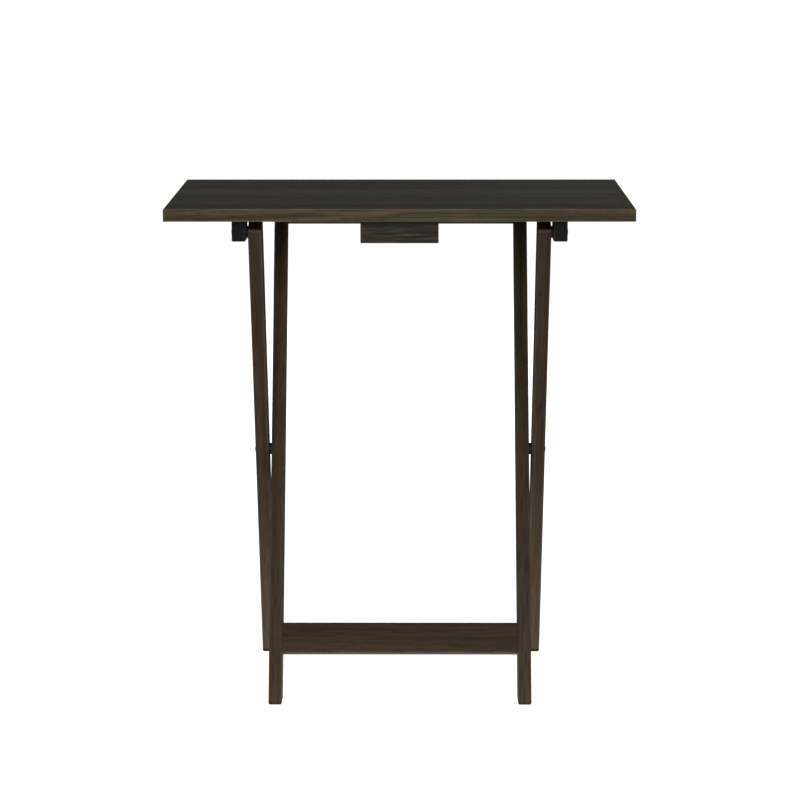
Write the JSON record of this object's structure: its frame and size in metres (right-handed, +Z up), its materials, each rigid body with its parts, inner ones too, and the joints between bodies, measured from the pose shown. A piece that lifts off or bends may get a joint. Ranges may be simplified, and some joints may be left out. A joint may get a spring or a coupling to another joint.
{
  "type": "folding tray table",
  "caption": "Free-standing folding tray table: a flat rectangular wooden top on crossed pairs of leaning legs that fold together, with a low stretcher.",
  "frame": {"origin": "on the floor, under the middle of the tabletop", "axes": "+X to the right as seen from the front, +Y to the back, +Z up; the front is the edge nearest the outer legs' upper pivots"},
  "size_m": [0.6, 0.4, 0.66],
  "materials": {
    "stained_veneer": "satin espresso stain, fine straight grain left to right",
    "stained_edge": "satin espresso stain on a solid wood edge band",
    "stained_block": "satin espresso stain, darker on end grain",
    "stained_leg_wood": "satin espresso stain, grain along the piece",
    "core_board": "unfinished wood-fibre board, hidden inside",
    "bare_dowel": "unfinished hardwood, hidden inside",
    "zinc_screw": "dull zinc plate",
    "black_spacer": "matt black nylon",
    "bronzed_steel": "dark bronze plate, satin"
  },
  "bodies": {
    "outer_legs": {"outer_leg_left": "stained_leg_wood", "outer_leg_right": "stained_leg_wood", "mid_bolt_left": "bronzed_steel", "mid_bolt_right": "bronzed_steel", "mid_spacer_left": "black_spacer", "mid_spacer_right": "black_spacer", "mid_nut_left": "bronzed_steel", "mid_nut_right": "bronzed_steel"},
    "inner_frame": {"inner_leg_left": "stained_leg_wood", "inner_leg_right": "stained_leg_wood", "stretcher": "stained_leg_wood", "crossbar": "stained_leg_wood", "stretcher_dowels_left": "bare_dowel", "stretcher_dowels_right": "bare_dowel", "crossbar_dowels_left": "bare_dowel", "crossbar_dowels_right": "bare_dowel"},
    "top_pivots": {"top_bolt_left": "bronzed_steel", "top_bolt_right": "bronzed_steel", "top_spacer_left": "black_spacer", "top_spacer_right": "black_spacer", "top_nut_left": "bronzed_steel", "top_nut_right": "bronzed_steel"},
    "tabletop": {"top_core": "core_board", "top_veneer": "stained_veneer", "underside_veneer": "stained_veneer", "edge_band_front": "stained_edge", "edge_band_rear": "stained_edge", "edge_band_left": "stained_edge", "edge_band_right": "stained_edge", "side_block_left": "stained_block", "side_block_right": "stained_block", "front_block": "stained_block", "rear_block": "stained_block", "side_block_screws_left": "zinc_screw", "side_block_screws_right": "zinc_screw", "front_block_screws": "zinc_screw", "rear_block_screws": "zinc_screw"}
  },
  "joints": [
    {"name": "leg_fold", "type": "hinge", "parent": "outer_legs", "child": "inner_frame", "pos_m": [0, 0, 0.314], "axis": [1, 0, 0], "range_deg": [0, 47.45]},
    {"name": "top_follow", "type": "hinge", "parent": "outer_legs", "child": "top_pivots", "pos_m": [0, -0.13624, 0.624], "axis": [1, 0, 0], "range_deg": [0, 23.73]},
    {"name": "top_lift", "type": "hinge", "parent": "top_pivots", "child": "tabletop", "pos_m": [0, -0.13624, 0.624], "axis": [1, 0, 0], "range_deg": [0, 90]}
  ],
  "couplings": [
    {"joint": "top_follow", "follows": "leg_fold", "ratio": 0.5}
  ]
}
